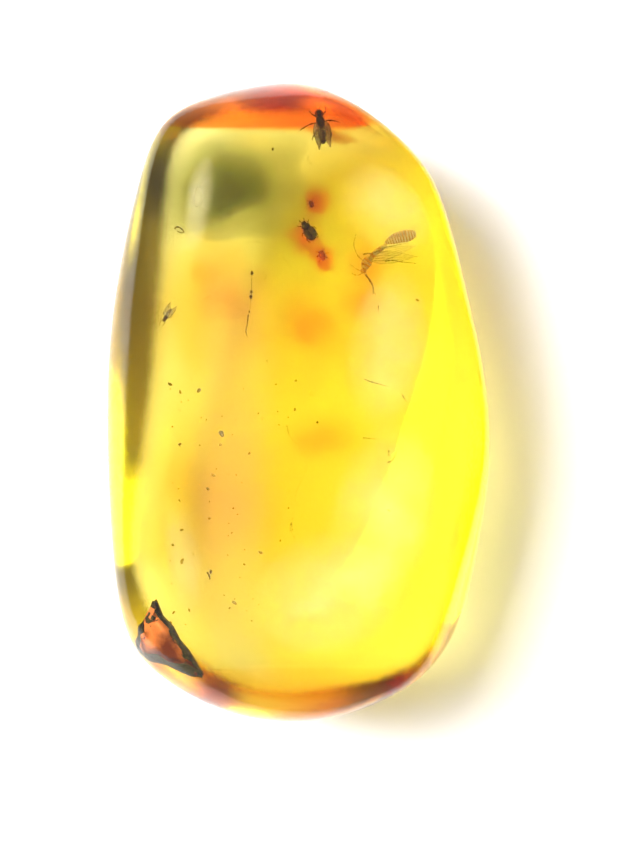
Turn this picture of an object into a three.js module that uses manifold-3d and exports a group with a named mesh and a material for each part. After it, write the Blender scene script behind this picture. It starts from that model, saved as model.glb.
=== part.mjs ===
// A polished piece of amber with insects sealed in it, as one solid.
// Millimetres, +Z up. It lies on its ground base: +Y runs along its length, +X across it.
import * as THREE from "three";
import { mergeVertices } from "three/addons/utils/BufferGeometryUtils.js";
import Module from "manifold-3d";

// Overall size.
const LENGTH = 30;
const WIDTH = 18;
const THICKNESS = 8.5;

// The belt is the level where the stone is widest.
const BELT_HEIGHT = 4.8;

// The belly would reach this far below the belt if the base were not ground off it.
const BELLY_DEPTH = 5.0;

// The crown is a low dome, part of an egg whose half-axes are these, with its top at THICKNESS.
const DOME_ACROSS = 30;
const DOME_ALONG = 90;
const DOME_X = 1.0;

// The stone was ground flat by flat and then tumbled, so its flats run softly into each other.
// A flat faces a compass direction, in degrees from +X towards +Y, and leans up from level by
// some degrees. "away" is its distance in millimetres from the stone's middle at belt height.
const OUTLINE_FLATS = [
  { faces: 0, away: 9.35 },
  { faces: 14, away: 8.9 },
  { faces: 46, away: 12.2 },
  { faces: 64, away: 14.5 },
  { faces: 101, away: 15.3 },
  { faces: 130, away: 14.6 },
  { faces: 165, away: 10.0 },
  { faces: 180, away: 9.3 },
  { faces: 188, away: 9.9 },
  { faces: 221, away: 14.8 },
  { faces: 244, away: 15.3 },
  { faces: 270, away: 15.5 },
  { faces: 298, away: 14.6 },
  { faces: 312, away: 14.6 },
  { faces: 351, away: 9.9 },
];
const SHOULDER_FLATS = [
  { faces: 177, leans: 46, away: 6.9 },
  { faces: 97, leans: 46, away: 12.0 },
  { faces: 252, leans: 46, away: 12.15 },
  { faces: 287, leans: 46, away: 12.35 },
  { faces: 221.5, leans: 45, away: 10.4 },
  { faces: 343, leans: 20, away: 10.0 },
];
const KEEL_FLATS = [
  { faces: 166, leans: -55, away: 6.35 },
  { faces: 112, leans: -55, away: 10.07 },
  { faces: 268, leans: -55, away: 10.2 },
  { faces: 225, leans: -53, away: 9.6 },
  { faces: 343, leans: -60, away: 7.3 },
];

// How tightly the flats meet: a higher number leaves a sharper edge. Around the belt the crown's
// sharpness passes into the belly's, over headings that rise or fall by about BELT_SOFTNESS.
const OUTLINE_SHARPNESS = 20;
const CROWN_SHARPNESS = 22;
const BELLY_SHARPNESS = 10;
const BELT_SOFTNESS = 0.2;

// The skin is a ball of 20 x (FINENESS + 1)^2 triangles, drawn out to the flats.
const FINENESS = 15;

const AMBER = { color: 0xe8a317, roughness: 0.08, metalness: 0 };

// The share of a flat's distance that a step of one millimetre along "heading" covers.
function shareOf(flat, heading) {
  const turn = THREE.MathUtils.degToRad(flat.faces);
  const lean = THREE.MathUtils.degToRad(flat.leans ?? 0);
  const normal = new THREE.Vector3(
    Math.cos(lean) * Math.cos(turn),
    Math.cos(lean) * Math.sin(turn),
    Math.sin(lean),
  );
  return Math.max(0, normal.dot(heading)) / flat.away;
}

// Flats blended into one share: the largest counts most, and its neighbours round it off.
function blend(shares, sharpness) {
  const sum = shares.reduce((total, share) => total + share ** sharpness, 0);
  return sum ** (1 / sharpness);
}

// How far the dome of the crown lies from the stone's middle along a unit heading, found where
// the heading leaves the unit ball that the dome's egg becomes when it is squashed.
function domeReach(heading) {
  const squash = new THREE.Vector3(1 / DOME_ACROSS, 1 / DOME_ALONG, 1 / DOME_ACROSS);
  const step = heading.clone().multiply(squash);
  const middle = new THREE.Vector3(DOME_X, 0, THICKNESS - BELT_HEIGHT - DOME_ACROSS);
  middle.multiply(squash);
  const along = step.dot(middle);
  const short = step.lengthSq() * (middle.lengthSq() - 1);
  return (along + Math.sqrt(along * along - short)) / step.lengthSq();
}

// How far the skin lies from the stone's middle along a unit heading.
function reach(heading) {
  const sharesOf = (flats) => flats.map((flat) => shareOf(flat, heading));
  const outline = blend(sharesOf(OUTLINE_FLATS), OUTLINE_SHARPNESS);
  const crown = 1 / domeReach(heading);
  const belly = Math.max(0, -heading.z) / BELLY_DEPTH;
  const others = sharesOf([...SHOULDER_FLATS, ...KEEL_FLATS]);
  const upward = (1 + Math.tanh(heading.z / BELT_SOFTNESS)) / 2;
  const sharpness = THREE.MathUtils.lerp(BELLY_SHARPNESS, CROWN_SHARPNESS, upward);
  return 1 / blend([outline, crown, belly, ...others], sharpness);
}

// The stone before its base is ground: a ball whose every point is moved out to the skin.
function tumbledStone() {
  const ball = new THREE.IcosahedronGeometry(1, FINENESS);
  ball.deleteAttribute("normal");
  ball.deleteAttribute("uv");
  const stone = mergeVertices(ball);
  const places = stone.getAttribute("position");
  const point = new THREE.Vector3();
  for (let i = 0; i < places.count; i++) {
    point.fromBufferAttribute(places, i).normalize();
    point.multiplyScalar(reach(point));
    places.setXYZ(i, point.x, point.y, point.z + BELT_HEIGHT);
  }
  return stone;
}

// Everything below the table: what the grinding of the base takes off.
function groundOff() {
  const depth = THICKNESS;
  const slab = new THREE.BoxGeometry(2 * LENGTH, 2 * LENGTH, depth);
  slab.translate(0, 0, -depth / 2);
  slab.deleteAttribute("normal");
  slab.deleteAttribute("uv");
  return mergeVertices(slab);
}

function solidOf(wasm, geometry) {
  const vertProperties = new Float32Array(geometry.getAttribute("position").array);
  const triVerts = new Uint32Array(geometry.getIndex().array);
  return new wasm.Manifold(new wasm.Mesh({ numProp: 3, vertProperties, triVerts }));
}

function geometryOf(solid) {
  const mesh = solid.getMesh();
  const geometry = new THREE.BufferGeometry();
  geometry.setAttribute("position", new THREE.BufferAttribute(mesh.vertProperties, 3));
  geometry.setIndex(new THREE.BufferAttribute(mesh.triVerts, 1));
  return geometry;
}

// Brings a geometry that stands on z = 0 to the overall size, with its middle over the origin.
function bringToSize(geometry) {
  geometry.computeBoundingBox();
  const box = geometry.boundingBox;
  const middle = box.getCenter(new THREE.Vector3());
  const size = box.getSize(new THREE.Vector3());
  geometry.translate(-middle.x, -middle.y, -box.min.z);
  geometry.scale(WIDTH / size.x, LENGTH / size.y, THICKNESS / size.z);
  geometry.computeVertexNormals();
  return geometry;
}

const wasm = await Module();
wasm.setup();
const stone = solidOf(wasm, tumbledStone()).subtract(solidOf(wasm, groundOff()));
const amber = new THREE.Mesh(
  bringToSize(geometryOf(stone)),
  new THREE.MeshStandardMaterial(AMBER),
);
amber.name = "amber";

const insectInAmber = new THREE.Group();
insectInAmber.add(amber);

export default insectInAmber;
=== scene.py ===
"""Insect in amber: the looks of a polished lump of amber and of what is sealed in it.

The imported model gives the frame: +Z up, +Y along the stone, its ground base on z = 0. Sizes and
places are millimetres here, and a mesh is brought to metres as its piece is made.
"""

import logging
import math
import random
from dataclasses import dataclass
from enum import Enum

import bmesh
import bpy
from mathutils import Matrix, Vector, noise
from mathutils.bvhtree import BVHTree


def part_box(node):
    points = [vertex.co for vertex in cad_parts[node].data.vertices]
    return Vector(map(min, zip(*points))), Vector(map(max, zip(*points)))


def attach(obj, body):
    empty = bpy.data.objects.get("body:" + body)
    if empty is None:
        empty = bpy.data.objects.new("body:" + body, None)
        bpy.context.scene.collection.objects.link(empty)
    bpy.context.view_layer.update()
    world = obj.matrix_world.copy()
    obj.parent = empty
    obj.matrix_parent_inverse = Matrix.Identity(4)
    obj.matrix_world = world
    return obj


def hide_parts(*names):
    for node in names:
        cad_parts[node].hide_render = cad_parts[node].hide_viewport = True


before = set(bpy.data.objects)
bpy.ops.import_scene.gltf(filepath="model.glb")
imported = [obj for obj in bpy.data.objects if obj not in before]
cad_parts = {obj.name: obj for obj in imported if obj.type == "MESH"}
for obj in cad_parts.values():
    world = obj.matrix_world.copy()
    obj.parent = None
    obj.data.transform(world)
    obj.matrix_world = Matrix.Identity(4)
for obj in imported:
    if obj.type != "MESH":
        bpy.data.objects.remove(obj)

LOG = logging.getLogger("insect_in_amber")
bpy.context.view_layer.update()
MM = 0.001
BODY = "root"

# The mesh attribute that holds how far along a limb a point lies, or how near a veil's middle.
ALONG = "along"

Colour = tuple[float, float, float]
Point = tuple[float, float, float]


class Slot(Enum):
    """The record's material slots."""

    AMBER = "amber"
    INSECT = "insect"
    STAIN = "stain"


class Profile(Enum):
    """How the thickness of a limb runs along it."""

    LEG = "leg"
    EGG = "egg"
    RINGED = "ringed"
    BEADED = "beaded"


# Shader node groups and finishes


def math_node(tree: bpy.types.NodeTree, operation: str, *terms: object) -> bpy.types.NodeSocket:
    """Adds a Math node.

    Args:
        tree: the node tree.
        operation: what it works out.
        terms: a socket or a number for each of its inputs.

    Returns:
        Its output.
    """
    node = tree.nodes.new("ShaderNodeMath")
    node.operation = operation
    for socket, term in zip(node.inputs, terms):
        if isinstance(term, bpy.types.NodeSocket):
            tree.links.new(term, socket)
        else:
            socket.default_value = term
    return node.outputs[0]


def mix_node(
    tree: bpy.types.NodeTree, share: bpy.types.NodeSocket, first: object, second: object
) -> bpy.types.NodeSocket:
    """Adds a Mix node for colours.

    Args:
        tree: the node tree.
        share: how much of the second colour shows.
        first: a socket or a colour.
        second: a socket or a colour.

    Returns:
        Its output.
    """
    node = tree.nodes.new("ShaderNodeMix")
    node.data_type = "RGBA"
    tree.links.new(share, node.inputs["Factor"])
    for socket, colour in ((node.inputs["A"], first), (node.inputs["B"], second)):
        if isinstance(colour, bpy.types.NodeSocket):
            tree.links.new(colour, socket)
        else:
            socket.default_value = (*colour, 1)
    return node.outputs["Result"]


@dataclass(frozen=True)
class Effects:
    """The shader node groups that several finishes share, each built once."""

    mottle: bpy.types.NodeTree
    bands: bpy.types.NodeTree

    @classmethod
    def build(cls) -> "Effects":
        """Returns the groups."""
        return cls(mottle=cls.build_mottle(), bands=cls.build_bands())

    @staticmethod
    def start(name: str, inputs: dict[str, object], outputs: dict[str, str]) -> bpy.types.NodeTree:
        """Starts a shader node group with its sockets.

        Args:
            name: the group's name.
            inputs: the default of each input; three numbers make a colour.
            outputs: the socket type of each output.

        Returns:
            The group, with a "Group Input" and a "Group Output" node.
        """
        tree = bpy.data.node_groups.new(name, "ShaderNodeTree")
        for label, value in inputs.items():
            kind = "NodeSocketColor" if isinstance(value, tuple) else "NodeSocketFloat"
            socket = tree.interface.new_socket(label, in_out="INPUT", socket_type=kind)
            socket.default_value = (*value, 1) if isinstance(value, tuple) else value
        for label, kind in outputs.items():
            tree.interface.new_socket(label, in_out="OUTPUT", socket_type=kind)
        tree.nodes.new("NodeGroupInput")
        tree.nodes.new("NodeGroupOutput")
        return tree

    @classmethod
    def build_mottle(cls) -> bpy.types.NodeTree:
        """Returns the group that blotches a surface between two colours."""
        tree = cls.start(
            "mottle",
            {"Size": 0.1, "Contrast": 1.0, "Dark": (0.0, 0.0, 0.0), "Light": (1.0, 1.0, 1.0)},
            {"Color": "NodeSocketColor", "Height": "NodeSocketFloat"},
        )
        given, result = tree.nodes["Group Input"], tree.nodes["Group Output"]
        place = tree.nodes.new("ShaderNodeTexCoord")
        blotch = tree.nodes.new("ShaderNodeTexNoise")
        blotch.inputs["Detail"].default_value = 4
        tree.links.new(place.outputs["Object"], blotch.inputs["Vector"])
        per_metre = math_node(tree, "DIVIDE", 1 / MM, given.outputs["Size"])
        tree.links.new(per_metre, blotch.inputs["Scale"])
        centred = math_node(tree, "SUBTRACT", blotch.outputs["Fac"], 0.5)
        spread = math_node(tree, "MULTIPLY_ADD", centred, given.outputs["Contrast"], 0.5)
        colour = mix_node(tree, spread, given.outputs["Dark"], given.outputs["Light"])
        tree.links.new(colour, result.inputs["Color"])
        tree.links.new(blotch.outputs["Fac"], result.inputs["Height"])
        return tree

    @classmethod
    def build_bands(cls) -> bpy.types.NodeTree:
        """Returns the group that bands a limb across its length."""
        tree = cls.start("bands", {"Count": 8.0, "Share": 0.5}, {"Mask": "NodeSocketFloat"})
        given, result = tree.nodes["Group Input"], tree.nodes["Group Output"]
        along = tree.nodes.new("ShaderNodeAttribute")
        along.attribute_name = ALONG
        turns = math_node(tree, "MULTIPLY", along.outputs["Fac"], given.outputs["Count"])
        wave = math_node(tree, "PINGPONG", turns, 0.5)
        past = math_node(tree, "MULTIPLY_ADD", wave, -2.0, given.outputs["Share"])
        mask = tree.nodes.new("ShaderNodeClamp")
        tree.links.new(math_node(tree, "MULTIPLY_ADD", past, 3.0, 0.5), mask.inputs["Value"])
        tree.links.new(mask.outputs[0], result.inputs["Mask"])
        return tree


def start_material(name: str) -> tuple[bpy.types.Material, bpy.types.NodeTree, bpy.types.Node]:
    """Starts a material.

    Args:
        name: the material's name.

    Returns:
        The material, its node tree and its shader.
    """
    material = bpy.data.materials.new(name)
    material.use_nodes = True
    tree = material.node_tree
    return material, tree, tree.nodes["Principled BSDF"]


def place_group(
    tree: bpy.types.NodeTree, group: bpy.types.NodeTree, values: dict[str, object]
) -> bpy.types.Node:
    """Places a shader node group in a material.

    Args:
        tree: the material's node tree.
        group: the group.
        values: the value of each input that isn't left at its default.

    Returns:
        The node.
    """
    node = tree.nodes.new("ShaderNodeGroup")
    node.node_tree = group
    for label, value in values.items():
        node.inputs[label].default_value = (*value, 1) if isinstance(value, tuple) else value
    return node


def clear_shader(shader: bpy.types.Node, tint: Colour, roughness: float, bending: float) -> None:
    """Makes a shader clear.

    Args:
        shader: the shader.
        tint: the colour that its surface gives to light.
        roughness: how rough it is.
        bending: its index of refraction.
    """
    shader.inputs["Base Color"].default_value = (*tint, 1)
    shader.inputs["Roughness"].default_value = roughness
    shader.inputs["IOR"].default_value = bending
    shader.inputs["Transmission Weight"].default_value = 1.0


def add_absorption(tree: bpy.types.NodeTree, absorbs: Colour) -> None:
    """Makes the inside of a material take light away.

    Args:
        tree: the material's node tree.
        absorbs: how fast red, green and blue fade, each per millimetre.
    """
    strongest = max(absorbs)
    volume = tree.nodes.new("ShaderNodeVolumeAbsorption")
    volume.inputs["Color"].default_value = (*(1 - share / strongest for share in absorbs), 1)
    volume.inputs["Density"].default_value = strongest / MM
    tree.links.new(volume.outputs[0], tree.nodes["Material Output"].inputs["Volume"])


@dataclass(frozen=True)
class AmberFinish:
    """Clear amber: its polish, how it bends light and how it colours it.

    The polish leaves a slow ripple and fine pits in the skin.
    """

    tint: Colour = (1.0, 0.97, 0.88)
    roughness: float = 0.02
    bending: float = 1.54
    absorbs: Colour = (0.005, 0.014, 0.23)
    ripple_size: float = 1.8
    ripple_height: float = 0.006
    pit_size: float = 0.06
    pit_height: float = 0.0035

    def material(self) -> bpy.types.Material:
        """Returns the material."""
        made, tree, shader = start_material("amber")
        clear_shader(shader, self.tint, self.roughness, self.bending)
        ripple = self.relief(tree, self.ripple_size, self.ripple_height)
        pits = self.relief(tree, self.pit_size, self.pit_height)
        tree.links.new(ripple.outputs["Normal"], pits.inputs["Normal"])
        tree.links.new(pits.outputs["Normal"], shader.inputs["Normal"])
        add_absorption(tree, self.absorbs)
        return made

    def relief(self, tree: bpy.types.NodeTree, size: float, height: float) -> bpy.types.Node:
        """Adds a bump to the skin.

        Args:
            tree: the material's node tree.
            size: how far apart its waves lie.
            height: how high they stand.

        Returns:
            The Bump node.
        """
        place = tree.nodes.new("ShaderNodeTexCoord")
        waves = tree.nodes.new("ShaderNodeTexNoise")
        waves.inputs["Scale"].default_value = 1 / (size * MM)
        waves.inputs["Detail"].default_value = 2
        bump = tree.nodes.new("ShaderNodeBump")
        bump.inputs["Distance"].default_value = height * MM
        tree.links.new(place.outputs["Object"], waves.inputs["Vector"])
        tree.links.new(waves.outputs["Fac"], bump.inputs["Height"])
        return bump


@dataclass(frozen=True)
class ClearFinish:
    """A clear filling inside the amber, such as a bubble or a cloud."""

    name: str
    bending: float = 1.0001
    absorbs: Colour | None = None

    def material(self) -> bpy.types.Material:
        """Returns the material."""
        made, tree, shader = start_material(self.name)
        clear_shader(shader, (1, 1, 1), 0.0, self.bending)
        if self.absorbs:
            add_absorption(tree, self.absorbs)
        return made


@dataclass(frozen=True)
class BlotchFinish:
    """A finely rough surface, blotched between two colours."""

    name: str
    dark: Colour
    light: Colour
    blotch_size: float = 0.12
    contrast: float = 2.0
    roughness: float = 0.4
    relief: float = 0.004
    shine: float = 0.12

    def material(self, effects: Effects) -> bpy.types.Material:
        """Makes the material.

        Args:
            effects: the shared shader node groups.

        Returns:
            The material.
        """
        made, tree, shader = start_material(self.name)
        mottle = self.lay_mottle(tree, shader, effects)
        tree.links.new(mottle.outputs["Color"], shader.inputs["Base Color"])
        return made

    def lay_mottle(
        self, tree: bpy.types.NodeTree, shader: bpy.types.Node, effects: Effects
    ) -> bpy.types.Node:
        """Adds the blotches and gives the shader their relief.

        Args:
            tree: the material's node tree.
            shader: its shader.
            effects: the shared shader node groups.

        Returns:
            The node of the blotches.
        """
        mottle = place_group(
            tree,
            effects.mottle,
            {
                "Size": self.blotch_size,
                "Contrast": self.contrast,
                "Dark": self.dark,
                "Light": self.light,
            },
        )
        bump = tree.nodes.new("ShaderNodeBump")
        bump.inputs["Distance"].default_value = self.relief * MM
        tree.links.new(mottle.outputs["Height"], bump.inputs["Height"])
        tree.links.new(bump.outputs["Normal"], shader.inputs["Normal"])
        shader.inputs["Roughness"].default_value = self.roughness
        shader.inputs["Specular IOR Level"].default_value = self.shine
        return mottle


@dataclass(frozen=True)
class CuticleFinish(BlotchFinish):
    """The shell of a limb: blotched, banded across its length, and thin between its bands."""

    band: Colour = (0.02, 0.012, 0.004)
    band_count: float = 8.0
    band_share: float = 0.3
    between_bands: float = 1.0

    def material(self, effects: Effects) -> bpy.types.Material:
        """Makes the material.

        Args:
            effects: the shared shader node groups.

        Returns:
            The material.
        """
        made, tree, shader = start_material(self.name)
        mottle = self.lay_mottle(tree, shader, effects)
        bands = place_group(
            tree, effects.bands, {"Count": self.band_count, "Share": self.band_share}
        )
        mask = bands.outputs["Mask"]
        colour = mix_node(tree, mask, mottle.outputs["Color"], self.band)
        tree.links.new(colour, shader.inputs["Base Color"])
        if self.between_bands < 1:
            rise = 1 - self.between_bands
            solid = math_node(tree, "MULTIPLY_ADD", mask, rise, self.between_bands)
            tree.links.new(solid, shader.inputs["Alpha"])
        return made


@dataclass(frozen=True)
class WingFinish:
    """A wing's clear film, with veins along it and a darker rim."""

    name: str
    film: Colour = (0.55, 0.38, 0.12)
    vein: Colour = (0.10, 0.06, 0.02)
    film_solid: float = 0.16
    vein_solid: float = 0.9
    vein_count: float = 5.0
    vein_width: float = 0.16
    rim_width: float = 0.06

    def material(self) -> bpy.types.Material:
        """Returns the material."""
        made, tree, shader = start_material(self.name)
        layout = tree.nodes.new("ShaderNodeUVMap")
        split = tree.nodes.new("ShaderNodeSeparateXYZ")
        tree.links.new(layout.outputs[0], split.inputs[0])
        wobble = tree.nodes.new("ShaderNodeTexNoise")
        wobble.inputs["Scale"].default_value = 3
        tree.links.new(layout.outputs[0], wobble.inputs["Vector"])
        across = math_node(tree, "MULTIPLY_ADD", wobble.outputs["Fac"], 0.12, split.outputs["Y"])
        lanes = math_node(tree, "MULTIPLY", across, self.vein_count)
        vein = math_node(tree, "LESS_THAN", math_node(tree, "PINGPONG", lanes, 0.5), self.vein_width)
        offset = math_node(tree, "ABSOLUTE", math_node(tree, "SUBTRACT", split.outputs["Y"], 0.5))
        rim = math_node(tree, "GREATER_THAN", offset, 0.5 - self.rim_width)
        mask = math_node(tree, "MAXIMUM", vein, rim)
        tree.links.new(mix_node(tree, mask, self.film, self.vein), shader.inputs["Base Color"])
        rise = self.vein_solid - self.film_solid
        solid = math_node(tree, "MULTIPLY_ADD", mask, rise, self.film_solid)
        tree.links.new(solid, shader.inputs["Alpha"])
        shader.inputs["Roughness"].default_value = 0.25
        return made


# Meshes


def finish_piece(
    name: str,
    bm: bmesh.types.BMesh,
    material: bpy.types.Material,
    slot: Slot,
    turn_faces: bool = True,
) -> bpy.types.Object:
    """Turns a bmesh in millimetres into a dressed piece of the object.

    Args:
        name: the piece's name.
        bm: its mesh, which is freed.
        material: its finish.
        slot: the record's material slot that the finish belongs to; it is not used.
        turn_faces: whether its faces still have to be turned outward.

    Returns:
        The new object, at the origin, riding with the stone.
    """
    bmesh.ops.scale(bm, vec=(MM, MM, MM), verts=bm.verts)
    if turn_faces:
        bmesh.ops.recalc_face_normals(bm, faces=bm.faces)
    for face in bm.faces:
        face.smooth = True
    mesh = bpy.data.meshes.new(name)
    bm.to_mesh(mesh)
    bm.free()
    mesh.materials.append(material)
    piece = bpy.data.objects.new(name, mesh)
    bpy.context.scene.collection.objects.link(piece)
    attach(piece, BODY)
    LOG.info("%s: %d faces", name, len(mesh.polygons))
    return piece


def point_along(path: list[Vector], share: float) -> Vector:
    """Finds a point on the smooth curve through a few points.

    Args:
        path: the points.
        share: how far along it, from 0 to 1.

    Returns:
        The point.
    """
    last = len(path) - 1
    step = min(int(share * last), last - 1)
    t = share * last - step
    before, start, end, after = (path[min(max(step + k, 0), last)] for k in (-1, 0, 1, 2))
    return (
        start
        + (end - before) * (0.5 * t)
        + (before - 2.5 * start + 2 * end - 0.5 * after) * t**2
        + (1.5 * (start - end) + 0.5 * (after - before)) * t**3
    )


@dataclass(frozen=True)
class Limb:
    """A drawn-out part of an insect, such as a leg or an abdomen.

    "width" is half its thickest place, "flat" its height as a share of its width, and "bulge"
    where along it an egg is thickest.
    """

    path: tuple[Point, ...]
    width: float
    profile: Profile = Profile.LEG
    flat: float = 1.0
    bulge: float = 0.5
    rings: int = 7

    def thickness(self, share: float) -> float:
        """Finds how thick the limb is.

        Args:
            share: how far along it, from 0 to 1.

        Returns:
            Its thickness there as a share of its thickest.
        """
        if self.profile is Profile.LEG:
            # It tapers to half, and swells a little at each joint.
            joints = len(self.path) - 1
            return (1 - 0.5 * share) * (0.85 + 0.15 * math.cos(2 * math.pi * share * joints))
        rings = abs(math.sin(math.pi * self.rings * share))
        if self.profile is Profile.BEADED:
            return (1 - 0.4 * share) * (0.65 + 0.35 * rings)
        # An egg is an ellipse whose middle is moved along to its bulge.
        eased = share ** (math.log(0.5) / math.log(self.bulge))
        egg = math.sqrt(max(1 - (2 * eased - 1) ** 2, 0.0))
        if self.profile is Profile.RINGED:
            egg *= 0.9 + 0.1 * rings
        return max(egg, 0.04)

    def draw(self, bm: bmesh.types.BMesh, place: Matrix) -> None:
        """Draws the limb by drawing a round section out along its path.

        Args:
            bm: the mesh to draw in.
            place: the frame that its path is given in.
        """
        slim = self.profile is Profile.LEG
        sides = 8 if slim else 16
        steps = 4 * (len(self.path) - 1) if slim else 4 * self.rings
        path = [Vector(spot) for spot in self.path]
        spots = [point_along(path, i / steps) for i in range(steps + 1)]
        along = bm.verts.layers.float.get(ALONG) or bm.verts.layers.float.new(ALONG)
        verts = bmesh.ops.create_circle(bm, cap_ends=True, radius=1, segments=sides)["verts"]
        end = verts[0].link_faces[0]
        heading = Vector((1, 0, 0))
        turn = Matrix.Rotation(math.radians(90), 4, "Y")
        seat = Matrix.Identity(4)
        for i, spot in enumerate(spots):
            onward = (spots[min(i + 1, steps)] - spots[max(i - 1, 0)]).normalized()
            turn = heading.rotation_difference(onward).to_matrix().to_4x4() @ turn
            heading = onward
            radius = self.width * self.thickness(i / steps)
            size = Matrix.Diagonal((radius * self.flat, radius, radius, 1))
            target = place @ Matrix.Translation(spot) @ turn @ size
            if i > 0:
                drawn = bmesh.ops.extrude_face_region(bm, geom=[end])["geom"]
                verts = [item for item in drawn if isinstance(item, bmesh.types.BMVert)]
                end = next(item for item in drawn if isinstance(item, bmesh.types.BMFace))
            bmesh.ops.transform(bm, matrix=target @ seat.inverted(), verts=verts)
            for vert in verts:
                vert[along] = i / steps
            seat = target


@dataclass(frozen=True)
class Wing:
    """A thin wing. It lies back from its root, turned outwards by "yaw" degrees."""

    root: Point
    length: float
    width: float
    yaw: float
    lift: float = 0.0
    camber: float = 0.06
    film: float = 0.012

    def draw(self, bm: bmesh.types.BMesh, place: Matrix) -> None:
        """Draws the wing from a grid shaped to a leaf.

        Args:
            bm: the mesh to draw in.
            place: the insect's frame.
        """
        if not bm.loops.layers.uv:
            bm.loops.layers.uv.new("UVMap")
        made = bmesh.ops.create_grid(bm, x_segments=18, y_segments=8, size=0.5, calc_uvs=True)
        verts = made["verts"]
        for vert in verts:
            along = vert.co.x + 0.5
            across = vert.co.y
            leaf = max(math.sin(math.pi * along**0.6), 0.04)
            arch = leaf * (1 - 4 * across * across)
            vert.co = (-self.length * along, self.width * leaf * across, self.camber * arch)
        turn = Matrix.Rotation(math.radians(self.yaw), 4, "Z")
        lift = Matrix.Rotation(math.radians(self.lift), 4, "Y")
        seat = place @ Matrix.Translation(self.root) @ turn @ lift
        bmesh.ops.transform(bm, matrix=seat, verts=verts)
        faces = list({face for vert in verts for face in vert.link_faces})
        bmesh.ops.solidify(bm, geom=faces, thickness=self.film)


@dataclass(frozen=True)
class Pose:
    """Where a thing lies in the amber: its middle, and its yaw, pitch and roll in degrees."""

    spot: Point
    yaw: float = 0.0
    pitch: float = 0.0
    roll: float = 0.0
    scale: float = 1.0

    def matrix(self) -> Matrix:
        """Returns the frame of the thing, whose +X is its heading and whose +Z is its back."""
        return (
            Matrix.Translation(self.spot)
            @ Matrix.Rotation(math.radians(self.yaw), 4, "Z")
            @ Matrix.Rotation(math.radians(self.pitch), 4, "Y")
            @ Matrix.Rotation(math.radians(self.roll), 4, "X")
            @ Matrix.Scale(self.scale, 4)
        )


def build_parts(
    name: str,
    parts: list[Limb] | list[Wing],
    place: Matrix,
    material: bpy.types.Material,
    slot: Slot = Slot.INSECT,
) -> bpy.types.Object:
    """Builds one piece from several limbs or wings.

    Args:
        name: the piece's name.
        parts: what it is drawn from.
        place: the frame that they are given in.
        material: its finish.
        slot: its material slot.

    Returns:
        The piece.
    """
    bm = bmesh.new()
    for part in parts:
        part.draw(bm, place)
    return finish_piece(name, bm, material, slot)


def leg_pair(hip: float, knee: Point, foot: Point, width: float) -> list[Limb]:
    """Makes a pair of legs, one on each side.

    Args:
        hip: where along the body they start.
        knee: the left knee.
        foot: the left foot.
        width: half the thigh's thickness.

    Returns:
        The two legs.
    """
    start = (hip, 0.04, -0.05)
    shin = tuple(k + 0.55 * (f - k) + out for k, f, out in zip(knee, foot, (0, 0.03, 0.03)))
    left = (start, knee, shin, foot)
    right = tuple((x, -y, z) for x, y, z in left)
    return [Limb(left, width), Limb(right, width)]


# The amber


@dataclass(frozen=True)
class Flat:
    """A flat ground on the stone.

    "faces" is the compass direction it looks in, in degrees from +X towards +Y, "leans" is how
    far it looks up from level, and "away" is its distance from the stone's middle.
    """

    faces: float
    away: float
    leans: float = 0.0

    def normal(self) -> Vector:
        """Returns the unit normal of the flat."""
        turn = math.radians(self.faces)
        lean = math.radians(self.leans)
        level = math.cos(lean)
        return Vector((level * math.cos(turn), level * math.sin(turn), math.sin(lean)))


OUTLINE_FLATS = (
    Flat(0, 9.35),
    Flat(14, 8.9),
    Flat(46, 12.2),
    Flat(64, 14.5),
    Flat(101, 15.3),
    Flat(130, 14.6),
    Flat(165, 10.0),
    Flat(180, 9.3),
    Flat(188, 9.9),
    Flat(221, 14.8),
    Flat(244, 15.3),
    Flat(270, 15.5),
    Flat(298, 14.6),
    Flat(312, 14.6),
    Flat(351, 9.9),
)
SHOULDER_FLATS = (
    Flat(177, 6.9, leans=46),
    Flat(97, 12.0, leans=46),
    Flat(252, 12.15, leans=46),
    Flat(287, 12.35, leans=46),
    Flat(221.5, 10.4, leans=45),
    Flat(343, 10.0, leans=20),
)
KEEL_FLATS = (
    Flat(166, 6.35, leans=-55),
    Flat(112, 10.07, leans=-55),
    Flat(268, 10.2, leans=-55),
    Flat(225, 9.6, leans=-53),
    Flat(343, 7.3, leans=-60),
)


def blend(shares: list[float], sharpness: float) -> float:
    """Blends the shares of several flats into one, so that they run softly into each other.

    Args:
        shares: one number for each flat, the part of its distance that a step covers.
        sharpness: how tightly the flats meet.

    Returns:
        The blended share: the largest counts most, and its neighbours round it off.
    """
    return sum(share**sharpness for share in shares) ** (1 / sharpness)


def cut_off(bm: bmesh.types.BMesh, spot: Vector, keep: Vector) -> None:
    """Cuts a closed mesh along a plane and closes the cut.

    Args:
        bm: the mesh.
        spot: a point of the plane.
        keep: the plane's normal, which looks at the side that stays.
    """
    everything = bm.verts[:] + bm.edges[:] + bm.faces[:]
    cut = bmesh.ops.bisect_plane(
        bm, geom=everything, dist=1e-5, plane_co=spot, plane_no=keep, clear_inner=True
    )
    rim = [item for item in cut["geom_cut"] if isinstance(item, bmesh.types.BMEdge)]
    bmesh.ops.contextual_create(bm, geom=rim)


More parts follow.
